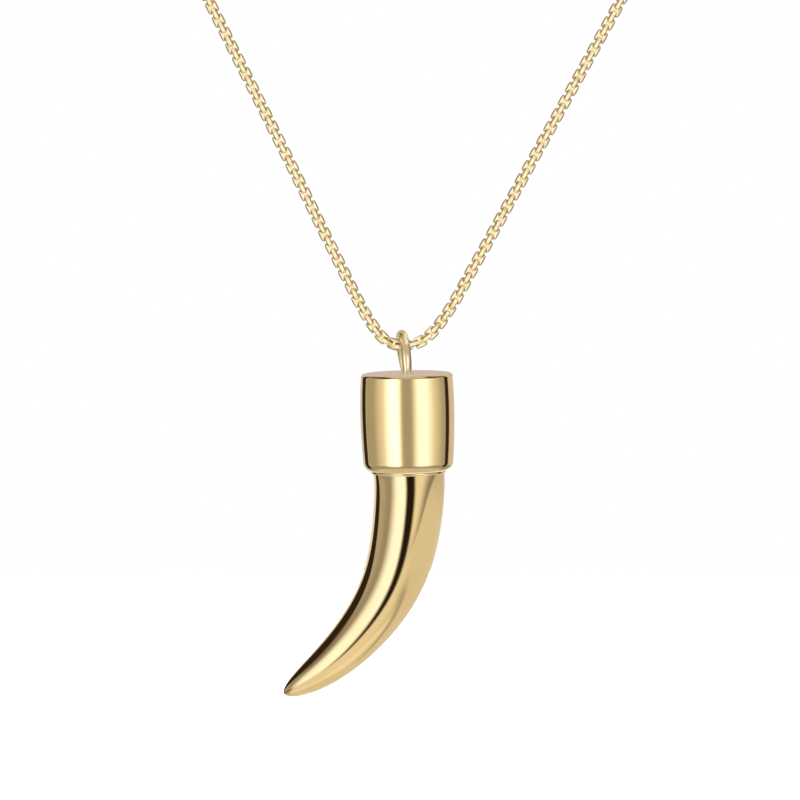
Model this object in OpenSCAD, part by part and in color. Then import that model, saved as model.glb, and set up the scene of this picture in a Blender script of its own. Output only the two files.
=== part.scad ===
/* [Chain] */
// Width of the box chain
chain_w = 1.2; // [1:0.1:1.4]
// Gap between the chain's top and the crown of the bail
chain_gap = 0.1; // [0.06:0.02:0.2]
/* [Bail] */
// Thickness of the bail's wire
bail_wire = 1.05; // [0.8:0.05:1.2]
// Height of the bail above the cap
bail_h = 4.75; // [4.6:0.05:6]
// Room inside the bail, on each side of the chain
bail_room = 0.2; // [0.15:0.05:0.5]
// Turn of the bail about its stem, in degrees
bail_twist = 10; // [0:1:20]
// Lean of the bail along the chain, in degrees
bail_lean = 6.5; // [0:0.5:8]
// Length of the bail's stem inside the cap
stem_len = 1.2; // [0.8:0.1:1.6]
// Room round the stem in the cap's top hole
stem_room = 0.16; // [0.14:0.01:0.25]
/* [Cap] */
// Largest diameter of the cap
cap_d = 10.24; // [9.6:0.02:12]
// Height of the cap
cap_h = 10.5; // [9:0.1:13]
// Share of the cap's height from its top down to its widest ring
cap_belly = 0.38; // [0.25:0.01:0.6]
// How far the side draws in at the cap's top
cap_top_in = 0.16; // [0:0.02:0.3]
// How far the side draws in at the cap's foot
cap_foot_in = 0.3; // [0:0.02:0.4]
// Radius of the cap's top edge
cap_top_round = 0.4; // [0.2:0.05:0.8]
// Radius of the cap's bottom edge
cap_foot_round = 0.8; // [0.3:0.05:0.9]
/* [Horn] */
// Diameter of the horn at its root
horn_d = 7.76; // [6:0.02:7.8]
// Drop from the cap's foot to the horn's tip
horn_drop = 24.2; // [16:0.1:32]
// Sweep of the tip to the side of the cap's axis
horn_sweep = 14.0; // [6:0.1:18]
// Length of the horn's root inside the cap
root_len = 3; // [2:0.1:4.5]
// Gap round the horn's root in the cap
root_gap = 0.05; // [0.03:0.01:0.1]
/* [Hanging] */
// Lean of the whole pendant to the side, in degrees
pendant_tilt = 1.05; // [0:0.05:3]
/* [Clasp] */
// Outside diameter of the spring ring
clasp_d = 6; // [5:0.1:8]
// Thickness of the spring ring's tube
clasp_tube = 1.2; // [1:0.05:1.4]
// Outside diameter of the spring ring's eye
eye_d = 2.7; // [2.5:0.05:3.2]
// Thickness of the eye's wire
eye_wire = 0.7; // [0.5:0.05:0.75]
// Outside diameter of the two jump rings
ring_d = 3.4; // [3:0.1:4.2]
// Thickness of the jump rings' wire
ring_wire = 0.6; // [0.5:0.05:0.7]
// Length of the spring ring's thumb knob
knob_len = 0.8; // [0.5:0.05:1.2]
// Diameter of the thumb knob
knob_d = 0.7; // [0.5:0.05:0.9]
// Gap between pieces that pull on each other
link_gap = 0.1; // [0.06:0.01:0.15]
/* [Hidden] */

// The origin is at the nape, in the middle of the clasp. The lowest point of the chain's
// axis lies this far in front of it and below it.
low_front = 109;
low_drop = 128.5;
LOW = [0, -low_front, -low_drop];

// Sides of the horn's rings, steps along the horn, sides of the chain's tube
horn_sides = 32;
horn_rings = 36;
chain_sides = 8;
// Longest step between two rings of the chain's tube
chain_step = 9.5;
// Steps of a rounded edge and of the cap's side
edge_steps = 6;
side_steps = 10;
// How far a cutter runs out past the face that it opens
cut_past = 1;
// Distances over which directions are read: along the horn as a share, along the chain
horn_nudge = 0.002;
chain_nudge = 0.01;
// Direction that no part of the chain follows, by which its tube's rings are kept from turning
CHAIN_GUIDE = [0, -1, 0.7];

// Route of the chain's axis from its left end to its right, measured from its lowest point.
// The strands rise straight in one upright plane, lean back over the shoulders and close
// behind the neck. The list ends one span before the clasp on each side.
CHAIN_ROUTE = [
    [-24, 105, 127],
    [-41, 95, 123.5],
    [-53, 83, 119.5],
    [-61, 68, 114],
    [-63.5, 50, 107.5],
    [-60, 34, 102],
    [-54, 21.5, 96],
    [-45, 9, 83.5],
    [-37.4, 2.3, 70],
    [-29.8, 0, 55],
    [-21.3, 0, 38],
    [-12.3, 0, 20],
    [-6.4, 0, 8],
    [-4.25, 0, 3.8],
    [-3.2, 0, 2.1],
    [-2.5, 0, 1.2],
    [-1.9, 0, 0.65],
    [-1.2, 0, 0.27],
    [0, 0, 0],
    [1.2, 0, 0.22],
    [1.9, 0, 0.5],
    [2.55, 0, 0.95],
    [3.2, 0, 1.55],
    [3.8, 0, 2.25],
    [4.9, 0, 3.8],
    [7.3, 0, 8],
    [13.9, 0, 20],
    [23.8, 0, 38],
    [33, 0, 55],
    [41, 2.3, 70],
    [48.5, 9, 83.5],
    [56, 21.5, 96],
    [61, 34, 102],
    [64, 50, 107.5],
    [61, 68, 114],
    [53, 83, 119.5],
    [41, 95, 123.5],
    [24, 105, 127],
];

// Sections of the horn from root to tip. The columns are the share of its length, of its
// drop, of its sweep and of its root's diameter.
ALONG = 0;
DOWN = 1;
ASIDE = 2;
GIRTH = 3;
HORN = [
    [0.00, 0.000, 0.000, 1.000],
    [0.10, 0.122, 0.000, 0.981],
    [0.20, 0.247, 0.024, 0.959],
    [0.30, 0.367, 0.064, 0.924],
    [0.40, 0.481, 0.128, 0.872],
    [0.50, 0.590, 0.224, 0.806],
    [0.60, 0.694, 0.350, 0.730],
    [0.70, 0.788, 0.497, 0.646],
    [0.80, 0.868, 0.651, 0.552],
    [0.90, 0.934, 0.809, 0.421],
    [1.00, 1.000, 1.000, 0.000],
];

// Smooth curves through rows: a cubic with its slope at each row taken from the chords
// beside it, so rows may stand at uneven places.
function sum(list, n) = n <= 0 ? 0 : list[n - 1] + sum(list, n - 1);
function chord(at, rows, i) = (rows[i + 1] - rows[i]) / (at[i + 1] - at[i]);
function slope(at, rows, i) =
    let (last = len(at) - 1)
    i == 0 ? chord(at, rows, 0)
    : i == last ? chord(at, rows, last - 1)
    : (chord(at, rows, i - 1) * (at[i + 1] - at[i]) + chord(at, rows, i) * (at[i] - at[i - 1]))
        / (at[i + 1] - at[i - 1]);
function span(at, x, i = 0) = i >= len(at) - 2 || x < at[i + 1] ? i : span(at, x, i + 1);
function smooth(at, rows, x) =
    let (
        i = span(at, x),
        width = at[i + 1] - at[i],
        u = (x - at[i]) / width
    )
    rows[i] * (1 + 2 * u) * (1 - u) * (1 - u)
    + slope(at, rows, i) * width * u * (1 - u) * (1 - u)
    + rows[i + 1] * u * u * (3 - 2 * u)
    + slope(at, rows, i + 1) * width * u * u * (u - 1);

function unit(v) = v / norm(v);
function arc(centre, r, from, to, steps) =
    [for (i = [0:steps]) let (a = from + (to - from) * i / steps) centre + r * [cos(a), sin(a)]];

// Triangles between neighbouring rings of points, with the ends left open
function ring_faces(rings, sides) = [
    for (r = [0:rings - 2]) for (s = [0:sides - 1])
        let (a = r * sides + s, b = r * sides + (s + 1) % sides)
        each [[a, a + sides, b], [b, a + sides, b + sides]]
];

// Ring of the horn at one place: round, and square to the centre line
function horn_mid(t, rows) = let (row = smooth([for (h = HORN) h[ALONG]], rows, t)) [row[0], 0, row[1]];
function horn_ring(mid, along, r) =
    let (side = [0, 1, 0], out = cross(side, unit(along)))
    [for (s = [0:horn_sides - 1])
        let (a = 360 * s / horn_sides) mid + r * (cos(a) * out + sin(a) * side)];

// Clasp's places along X, worked out from its middle so that each piece pulls on the next
clasp_mid = 1.2;
clasp_r = (clasp_d - clasp_tube) / 2;
eye_r = (eye_d - eye_wire) / 2;
// How deep the eye is sunk into the spring ring, where the two are soldered
eye_sink = (clasp_tube + eye_wire) / 4;
ring_r = (ring_d - ring_wire) / 2;
eye_x = clasp_mid - clasp_r - clasp_tube / 2 - eye_r - eye_wire / 2 + eye_sink;
ring_left_x = eye_x - eye_r + eye_wire / 2 + ring_wire / 2 + link_gap - ring_r;
ring_right_x = clasp_mid + clasp_r - clasp_tube / 2 - ring_wire / 2 - link_gap + ring_r;
chain_left_x = ring_left_x - ring_r - ring_wire / 2 - link_gap;
chain_right_x = ring_right_x + ring_r + ring_wire / 2 + link_gap;

// Whole route of the chain, from its left end by the clasp, through the bail, to its right end
ROUTE = concat([[chain_left_x, 0, 0]], [for (p = CHAIN_ROUTE) p + LOW], [[chain_right_x, 0, 0]]);
SPANS = [for (i = [0:len(ROUTE) - 2]) norm(ROUTE[i + 1] - ROUTE[i])];
PLACES = [for (i = [0:len(ROUTE) - 1]) sum(SPANS, i)];
// Places of the tube's rings: at every point, and between points where they lie far apart
RING_PLACES = concat([0], [
    for (i = [0:len(SPANS) - 1])
        let (steps = ceil(SPANS[i] / chain_step))
        for (k = [1:steps]) PLACES[i] + SPANS[i] * k / steps
]);
function chain_at(x) = smooth(PLACES, ROUTE, x);

// Sizes of the bail in its own plane, with its foot on the cap's top
crown_r = chain_w / 2 + bail_room + bail_wire / 2;
crown_h = bail_h - bail_wire / 2 - crown_r;
leg_r = (crown_r * crown_r + crown_h * crown_h) / (2 * crown_r);
leg_turn = asin(crown_h / leg_r);
// Height of the chain's axis above the cap, and the bail's shift to the side at that height
hang_h = bail_h * cos(bail_lean) - bail_wire - chain_gap - chain_w / 2;
foot_x = hang_h * tan(bail_lean);
stem_hole_r = bail_wire / 2 + stem_room;
stem_hole_len = stem_len + link_gap;
socket_r = horn_d / 2 + root_gap;
socket_len = root_len + link_gap;

// Half of the cap's outline, from its top middle to its foot's middle
function cap_side(down) =
    let (
        past = down / cap_h - cap_belly,
        reach = past < 0 ? cap_belly : 1 - cap_belly,
        draw = past < 0 ? cap_top_in : cap_foot_in
    )
    cap_d / 2 - draw * pow(past / reach, 2);
function cap_outline() =
    let (
        top = cap_top_round,
        foot = cap_h - cap_foot_round,
        top_mid = [cap_side(top) - cap_top_round, -top],
        foot_mid = [cap_side(foot) - cap_foot_round, -foot]
    )
    concat(
        [[0, 0]],
        arc(top_mid, cap_top_round, 90, 0, edge_steps),
        [for (i = [1:side_steps - 1])
            let (down = top + (foot - top) * i / side_steps) [cap_side(down), -down]],
        arc(foot_mid, cap_foot_round, 0, -90, edge_steps),
        [[0, -cap_h]]
    );

// Places a piece of the pendant, modelled from the middle of the cap's top, under the chain
module on_chain() {
    translate(LOW) rotate([0, -pendant_tilt, 0]) translate([foot_x, 0, -hang_h]) children();
}

// Round ring in the plane across Y
module loop(mid_r, wire) {
    rotate([90, 0, 0]) rotate_extrude($fn = 64) translate([mid_r, 0]) circle(d = wire, $fn = 24);
}

module horn() {
    rows = [for (h = HORN) [-h[ASIDE] * horn_sweep, -cap_h - h[DOWN] * horn_drop]];
    girths = [for (h = HORN) h[GIRTH] * h[GIRTH]];
    at = [for (h = HORN) h[ALONG]];
    // Rings crowd towards the tip, so that its dome stays round
    places = [for (i = [0:horn_rings - 1]) 1 - pow(1 - i / horn_rings, 2)];
    root = horn_ring([0, 0, root_len - cap_h], [0, 0, -1], horn_d / 2);
    rings = concat(root, [
        for (t = places)
            let (along = horn_mid(min(t + horn_nudge, 1), rows) - horn_mid(max(t - horn_nudge, 0), rows))
            each horn_ring(horn_mid(t, rows), along, horn_d / 2 * sqrt(max(smooth(at, girths, t), 0)))
    ]);
    count = len(rings) / horn_sides;
    last = (count - 1) * horn_sides;
    tip = len(rings);
    on_chain() color([0.83, 0.68, 0.4])
        polyhedron(
            concat(rings, [horn_mid(1, rows)]),
            concat(
                [[for (s = [0:horn_sides - 1]) s]],
                ring_faces(count, horn_sides),
                [for (s = [0:horn_sides - 1]) [last + s, tip, last + (s + 1) % horn_sides]]
            )
        );
}

module cap() {
    on_chain() color([0.85, 0.72, 0.45]) difference() {
        rotate_extrude($fn = 96) polygon(cap_outline());
        translate([0, 0, -stem_hole_len]) cylinder(r = stem_hole_r, h = stem_hole_len + cut_past, $fn = 48);
        translate([0, 0, -cap_h - cut_past])
            cylinder(r = socket_r, h = socket_len + cut_past, $fn = 96);
    }
}

module bail() {
    on_chain() rotate([0, -bail_lean, 0]) rotate([0, 0, bail_twist]) color([0.86, 0.74, 0.47]) union() {
        translate([0, 0, crown_h]) rotate([90, 0, 90])
            rotate_extrude(angle = 180, $fn = 64) translate([crown_r, 0]) circle(d = bail_wire, $fn = 32);
        for (side = [0, 180]) rotate([0, 0, side])
            translate([0, crown_r - leg_r, crown_h]) rotate([90, 0, 90]) rotate([0, 0, -leg_turn])
                rotate_extrude(angle = leg_turn, $fn = 96)
                    translate([leg_r, 0]) circle(d = bail_wire, $fn = 32);
        sphere(d = bail_wire, $fn = 32);
        translate([0, 0, -stem_len]) cylinder(d = bail_wire, h = stem_len, $fn = 32);
    }
}

module chain() {
    end = PLACES[len(PLACES) - 1];
    rings = [
        for (x = RING_PLACES)
            let (
                along = chain_at(min(x + chain_nudge, end)) - chain_at(max(x - chain_nudge, 0)),
                out = unit(cross(along, CHAIN_GUIDE)),
                side = unit(cross(out, along))
            )
            for (s = [0:chain_sides - 1])
                let (a = 360 * s / chain_sides)
                chain_at(x) + chain_w / 2 * (cos(a) * out + sin(a) * side)
    ];
    count = len(RING_PLACES);
    last = (count - 1) * chain_sides;
    color([0.9, 0.76, 0.5])
        polyhedron(rings, concat(
            [[for (s = [0:chain_sides - 1]) s]],
            ring_faces(count, chain_sides),
            [[for (s = [chain_sides - 1:-1:0]) last + s]]
        ));
}

module ring_left() {
    color([0.86, 0.72, 0.45]) translate([ring_left_x, 0, 0]) rotate([90, 0, 0]) loop(ring_r, ring_wire);
}

module ring_right() {
    color([0.86, 0.72, 0.45]) translate([ring_right_x, 0, 0]) rotate([90, 0, 0]) loop(ring_r, ring_wire);
}

module clasp() {
    color([0.84, 0.7, 0.42]) union() {
        translate([clasp_mid, 0, 0]) loop(clasp_r, clasp_tube);
        translate([eye_x, 0, 0]) loop(eye_r, eye_wire);
        translate([clasp_mid, 0, clasp_r]) cylinder(d = knob_d, h = clasp_tube / 2 + knob_len, $fn = 32);
    }
}

horn();
cap();
bail();
chain();
ring_left();
ring_right();
clasp();
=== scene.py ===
"""Dressed model of the horn pendant on its box chain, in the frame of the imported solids.

Every surface is worked out with numpy from named sizes in millimetres and written into its
mesh in metres. The pendant's pieces are worked out about the middle of the cap's top and then
hung under the chain, as in the part's source. The metal is dressed with node materials. Each
kind of piece is lit by a tent of soft panels of its own, seen only in its polish.
"""

import logging
import math
from collections.abc import Callable
from dataclasses import dataclass, field
from enum import Enum

import bpy
import numpy as np
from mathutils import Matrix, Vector


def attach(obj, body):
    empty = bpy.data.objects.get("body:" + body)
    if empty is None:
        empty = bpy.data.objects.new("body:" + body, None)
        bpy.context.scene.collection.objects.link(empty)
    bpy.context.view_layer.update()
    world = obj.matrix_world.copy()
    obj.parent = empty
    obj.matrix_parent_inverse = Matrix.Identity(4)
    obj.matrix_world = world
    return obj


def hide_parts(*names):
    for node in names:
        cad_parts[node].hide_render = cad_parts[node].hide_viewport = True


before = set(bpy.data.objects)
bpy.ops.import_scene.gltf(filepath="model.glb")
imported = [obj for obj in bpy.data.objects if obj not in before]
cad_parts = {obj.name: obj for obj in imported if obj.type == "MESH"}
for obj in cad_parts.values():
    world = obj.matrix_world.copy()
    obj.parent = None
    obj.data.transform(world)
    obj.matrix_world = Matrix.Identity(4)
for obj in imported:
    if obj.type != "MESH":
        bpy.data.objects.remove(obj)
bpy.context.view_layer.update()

log = logging.getLogger("pendant")

MM = 0.001
# Lowest point of the chain's axis, from the nape
LOW = np.array([0.0, -109.0, -128.5])
PENDANT, NECKLACE = "pendant", "necklace"
# Smallest step, beside a crisp corner or at an axis, and a short flat beside a rounded edge
TINY = 0.01
EASE = 0.03
AXIS_X, AXIS_Y, AXIS_Z = np.eye(3)


# Shapes


def unit(vectors: np.ndarray) -> np.ndarray:
    """Vectors of length one along the last axis."""
    return vectors / np.linalg.norm(vectors, axis=-1, keepdims=True)


def turned(points: np.ndarray, axis: str, degrees: float) -> np.ndarray:
    """Points turned about a main axis.

    The two coordinates across the axis are mixed by the cosine and sine of the angle.

    Args:
        points: array whose last axis is x, y, z.
        axis: "x", "y" or "z".
        degrees: angle, right-handed.

    Returns:
        The turned points.
    """
    c, s = math.cos(math.radians(degrees)), math.sin(math.radians(degrees))
    i = "xyz".index(axis)
    j, k = (i + 1) % 3, (i + 2) % 3
    out = points.copy()
    out[..., j] = c * points[..., j] - s * points[..., k]
    out[..., k] = s * points[..., j] + c * points[..., k]
    return out


def arc(centre: tuple[float, float], radius: float, start: float, end: float, steps: int) -> np.ndarray:
    """Points of a circle's arc in a plane: centre plus radius times cosine and sine.

    Args:
        centre: middle of the arc.
        radius: its radius.
        start: first angle in degrees.
        end: last angle in degrees.
        steps: number of chords.

    Returns:
        Array of steps + 1 points with two columns.
    """
    a = np.radians(np.linspace(start, end, steps + 1))
    return np.array(centre) + radius * np.stack([np.cos(a), np.sin(a)], axis=-1)


def circle(side: np.ndarray, up: np.ndarray, steps: int) -> np.ndarray:
    """Points round an oval: cosine times one vector plus sine times another, in equal steps.

    Args:
        side: vector, or rows of them, at which the turn starts.
        up: the same for a quarter turn on.
        steps: number of points.

    Returns:
        Array whose last two axes are the steps and x, y, z.
    """
    a = np.arange(steps)[:, None] * 2 * math.pi / steps
    return np.cos(a) * side[..., None, :] + np.sin(a) * up[..., None, :]


def quads(rings: int, sides: int, looped: bool) -> np.ndarray:
    """Faces over rings of points, each between four neighbours on two rings."""
    row = np.arange(rings if looped else rings - 1)[:, None] * sides
    col = np.arange(sides)[None, :]
    above, side = (row + sides) % (rings * sides), (col + 1) % sides
    return np.stack([row + col, row + side, above + side, above + col], axis=-1).reshape(-1, 4)


class Form:
    """Points and faces of one piece, gathered from closed shells."""

    def __init__(self) -> None:
        """Starts with no shells."""
        self.points: list[np.ndarray] = []
        self.faces: list[np.ndarray] = []
        self.count = 0

    def add(self, points: np.ndarray, *faces: np.ndarray) -> "Form":
        """Adds a shell whose faces count from its own first point, and returns the form."""
        self.points.append(points.reshape(-1, 3))
        self.faces += [f + self.count for f in faces]
        self.count += len(self.points[-1])
        return self

    def add_rings(self, rings: np.ndarray, looped: bool = False) -> "Form":
        """Adds a shell over rings of points.

        Unless the rings come round to the first, each end is closed by a fan to its ring's
        middle.

        Args:
            rings: array of rings, sides and x, y, z, with each ring right-handed about the
                way that the rings run.
            looped: whether the last ring joins the first.

        Returns:
            The form.
        """
        n, m = rings.shape[:2]
        if looped:
            return self.add(rings, quads(n, m, True))
        ends = np.stack([rings[0].mean(axis=0), rings[-1].mean(axis=0)])
        s = np.arange(m)
        first = np.stack([np.full(m, n * m), (s + 1) % m, s], axis=-1)
        base = (n - 1) * m
        last = np.stack([np.full(m, n * m + 1), base + s, base + (s + 1) % m], axis=-1)
        return self.add(np.vstack([rings.reshape(-1, 3), ends]), quads(n, m, False), first, last)

    def add_copies(self, points: np.ndarray, faces: np.ndarray) -> "Form":
        """Adds copies of one shell.

        Args:
            points: array of copies, points and x, y, z.
            faces: the shell's faces, counted from its first point.

        Returns:
            The form.
        """
        copies, size = points.shape[:2]
        offsets = (np.arange(copies) * size)[:, None, None]
        return self.add(points, (faces[None] + offsets).reshape(-1, faces.shape[1]))

    def moved(self, change: Callable[[np.ndarray], np.ndarray]) -> "Form":
        """The same form with every point put through a change of place."""
        self.points = [change(p) for p in self.points]
        return self

    def piece(self, name: str, sharp: float = 40.0) -> bpy.types.Object:
        """Makes the mesh object.

        Args:
            name: object's name.
            sharp: angle in degrees past which an edge is shaded sharp.

        Returns:
            The object, at the origin, with its place in its mesh in metres.
        """
        mesh = bpy.data.meshes.new(name)
        loops = [f.tolist() for f in self.faces]
        mesh.from_pydata(np.vstack(self.points) * MM, [], [f for part in loops for f in part])
        mesh.validate()
        mesh.shade_smooth()
        mesh.set_sharp_from_angle(angle=math.radians(sharp))
        mesh.update()
        made = bpy.data.objects.new(name, mesh)
        bpy.context.collection.objects.link(made)
        log.info("%s: %d points, %d faces", name, len(mesh.vertices), len(mesh.polygons))
        return made


def revolved(profile: np.ndarray, sides: int) -> np.ndarray:
    """Rings of a turned shape about Z.

    A ring at height z is radius times the cosine and sine of equal steps of a full turn.

    Args:
        profile: rows of radius and height, from the foot's middle up round the outside.
        sides: points in a ring.

    Returns:
        Rings for Form.add_rings.
    """
    return profile[:, None, :1] * circle(AXIS_X, AXIS_Y, sides) + profile[:, None, 1:] * AXIS_Z


def swept(
    path: np.ndarray,
    across: np.ndarray,
    radii: np.ndarray | float,
    sides: int,
    along: np.ndarray | None = None,
) -> np.ndarray:
    """Rings of a round wire along a path.

    Each ring is the path's point plus the radius times the cosine and sine of equal steps,
    along two directions square to the path.

    Args:
        path: points along the wire's axis.
        across: a direction that is nowhere along the path.
        radii: wire's radius, or its radius at each point.
        sides: points in a ring.
        along: the path's direction at each point, read from its points if left out.

    Returns:
        Rings for Form.add_rings.
    """
    along = unit(np.gradient(path, axis=0) if along is None else along)
    side = unit(np.cross(across, along))
    return path[:, None] + np.reshape(radii, (-1, 1, 1)) * circle(side, np.cross(along, side), sides)


def round_end(radius: float, steps: int) -> tuple[np.ndarray, np.ndarray]:
    """Places before a wire's end and the wire's radii there, for an edge rounded by a quarter circle."""
    a = np.linspace(0.0, math.pi / 2, steps + 1)
    return radius * (1 - np.sin(a)), -radius * (1 - np.cos(a))


class Placement:
    """Puts points that are worked out about the cap's top under the chain."""

    def __init__(self, shift: float, drop: float, tilt: float) -> None:
        """Keeps the shift to the side, the drop from the chain's axis and the tilt in degrees."""
        self.offset = np.array([shift, 0.0, -drop])
        self.tilt = tilt

    def __call__(self, points: np.ndarray) -> np.ndarray:
        """The points in the part's frame, in millimetres."""
        return turned(points + self.offset, "y", -self.tilt) + LOW


# Shader nodes


class Signal:
    """A number in a node tree. Arithmetic on it adds Math nodes."""

    def __init__(self, board: "Board", socket: bpy.types.NodeSocket) -> None:
        """Wraps an output socket."""
        self.board, self.socket = board, socket

    def __add__(self, other: "Signal | float") -> "Signal":
        """Sum."""
        return self.board.math("ADD", self, other)

    __radd__ = __add__

    def __sub__(self, other: "Signal | float") -> "Signal":
        """Difference."""
        return self.board.math("SUBTRACT", self, other)

    def __rsub__(self, other: "Signal | float") -> "Signal":
        """Difference the other way round."""
        return self.board.math("SUBTRACT", other, self)

    def __mul__(self, other: "Signal | float") -> "Signal":
        """Product."""
        return self.board.math("MULTIPLY", self, other)

    __rmul__ = __mul__

    def __abs__(self) -> "Signal":
        """Size without sign."""
        return self.board.math("ABSOLUTE", self)

    def fade(self, start: float, end: float) -> "Signal":
        """Nought at start and one at end, smooth between and held outside."""
        node = self.board.node(
            "ShaderNodeMapRange",
            {"interpolation_type": "SMOOTHSTEP", "clamp": True},
            {"Value": self, "From Min": start, "From Max": end},
        )
        return Signal(self.board, node.outputs["Result"])


class Board:
    """Adds nodes to a tree."""

    def __init__(self, tree: bpy.types.NodeTree) -> None:
        """Empties the tree."""
        self.tree = tree
        tree.nodes.clear()

    def node(self, kind: str, settings: dict | None = None, values: dict | None = None) -> bpy.types.Node:
        """Adds a node.

        Args:
            kind: node's type.
            settings: the node's own properties, set before its sockets.
            values: sockets by name or number, each a plain value, a Signal or a socket.

        Returns:
            The node.
        """
        made = self.tree.nodes.new(kind)
        for key, value in (settings or {}).items():
            setattr(made, key, value)
        for key, value in (values or {}).items():
            socket = made.inputs[key]
            if isinstance(value, Signal):
                value = value.socket
            if isinstance(value, bpy.types.NodeSocket):
                self.tree.links.new(value, socket)
            else:
                socket.default_value = value
        return made

    def surface(self, shader: bpy.types.Node, kind: str = "ShaderNodeOutputMaterial") -> None:
        """Joins a shader to the tree's output."""
        self.node(kind, {}, {"Surface": shader.outputs[0]})

    def math(self, operation: str, *values: Signal | float) -> Signal:
        """A Math node's result."""
        made = self.node("ShaderNodeMath", {"operation": operation}, dict(enumerate(values)))
        return Signal(self, made.outputs[0])

    def vector(self, operation: str, *values: object) -> bpy.types.NodeSocket:
        """A Vector Math node's result, on plain vectors or sockets."""
        made = self.node("ShaderNodeVectorMath", {"operation": operation}, dict(enumerate(values)))
        return made.outputs[0]

    def parts(self, vector: bpy.types.NodeSocket) -> list[Signal]:
        """A vector's x, y and z."""
        made = self.node("ShaderNodeSeparateXYZ", {}, {0: vector})
        return [Signal(self, out) for out in made.outputs]

    def mix(self, factor: Signal | float, first: object, second: object) -> bpy.types.NodeSocket:
        """A colour between two, each a colour or a socket. Its colour inputs are 6 and 7."""
        made = self.node(
            "ShaderNodeMix",
            {"data_type": "RGBA", "clamp_factor": True},
            {0: factor, 6: first, 7: second},
        )
        return made.outputs[2]

    def noise(self, vector: bpy.types.NodeSocket, scale: float, detail: float = 3.0) -> Signal:
        """Noise about one half, at a number of waves to the metre."""
        made = self.node("ShaderNodeTexNoise", {}, {"Vector": vector, "Scale": scale, "Detail": detail})
        return Signal(self, made.outputs[0])


def new_material(name: str) -> tuple[bpy.types.Material, Board]:
    """A material without nodes, and the board that adds them."""
    made = bpy.data.materials.new(name)
    made.use_nodes = True
    return made, Board(made.node_tree)


def rgba(colour: tuple[float, float, float]) -> tuple[float, float, float, float]:
    """Colour with full alpha."""
    return (*colour, 1.0)


class Lay(Enum):
    """Way in which the finest polishing marks run."""

    ROUND = (1.0, 1.0, 14.0)
    LENGTHWISE = (9.0, 9.0, 1.0)
    ALL_WAYS = (1.0, 1.0, 1.0)


@dataclass(frozen=True)
class Gold:
    """Polished gold plate.

    The colour drifts between two near tones, the shine is broken by faint clouds and by fine
    marks in the way that the piece was polished, and the same marks are a very low relief.
    """

    name: str
    tone: tuple[float, float, float]
    deep: tuple[float, float, float]
    roughness: float
    haze: float
    marks: float
    lay: Lay
    mark_scale: float = 2600.0
    mark_detail: float = 5.0
    mark_width: float = 0.10
    cloud_scale: float = 210.0
    cloud_range: tuple[float, float] = (0.35, 0.68)
    cloud_tone: float = 0.6
    mark_tone: float = 0.15
    mark_height: float = 0.6
    relief: float = 0.000002
    relief_strength: float = 0.35

    def material(self) -> bpy.types.Material:
        """Builds the node material."""
        made, board = new_material(self.name)
        place = board.node("ShaderNodeTexCoord").outputs["Object"]
        cloud = board.noise(place, self.cloud_scale)
        stretched = board.node(
            "ShaderNodeMapping", {"vector_type": "POINT"}, {"Vector": place, "Scale": self.lay.value}
        )
        mark = board.noise(stretched.outputs[0], self.mark_scale, self.mark_detail)
        line = abs(mark - 0.5).fade(self.mark_width, 0.0)
        drift = cloud.fade(*self.cloud_range)
        share = drift * self.cloud_tone + line * self.mark_tone
        tone = board.mix(share, rgba(self.tone), rgba(self.deep))
        rough = self.roughness + drift * self.haze + line * self.marks
        height = mark * self.mark_height + cloud * (1 - self.mark_height)
        bump = board.node(
            "ShaderNodeBump",
            {},
            {"Strength": self.relief_strength, "Distance": self.relief, "Height": height},
        )
        skin = board.node(
            "ShaderNodeBsdfPrincipled",
            {},
            {"Base Color": tone, "Metallic": 1.0, "Roughness": rough, "Normal": bump.outputs[0]},
        )
        board.surface(skin)
        made.diffuse_color = rgba(self.tone)
        return made


TONE = (0.93, 0.69, 0.33)
DEEP = (0.90, 0.65, 0.29)
HORN_GOLD = Gold("horn_mirror_gold", TONE, DEEP, 0.05, 0.02, 0.02, Lay.LENGTHWISE)
CAP_GOLD = Gold("cap_turned_gold", TONE, DEEP, 0.08, 0.02, 0.02, Lay.ROUND)
WIRE_GOLD = Gold(
    "wire_drawn_gold", (0.94, 0.73, 0.39), (0.91, 0.69, 0.35), 0.11, 0.04, 0.03, Lay.ALL_WAYS
)
CHAIN_GOLD = Gold(
    "chain_tumbled_gold", (0.93, 0.75, 0.37), (0.90, 0.70, 0.32), 0.10, 0.05, 0.04, Lay.ALL_WAYS
)
CLASP_GOLD = Gold("clasp_pressed_gold", TONE, DEEP, 0.12, 0.04, 0.03, Lay.ALL_WAYS)


def dress(piece: bpy.types.Object, gold: Gold, slot: str, body: str, *nodes: str) -> bpy.types.Object:
    """Gives a piece its finish, its body and the solids that it stands for.

    Args:
        piece: the object.
        gold: its finish.
        slot: the record's material slot; not used.
        body: the body that it rides on.
        nodes: names of the solids that it replaces.

    Returns:
        The object.
    """
    made = bpy.data.materials.get(gold.name) or gold.material()
    piece.data.materials.append(made)
    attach(piece, body)
    if nodes:
        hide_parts(*nodes)
    return piece


# Pendant


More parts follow.
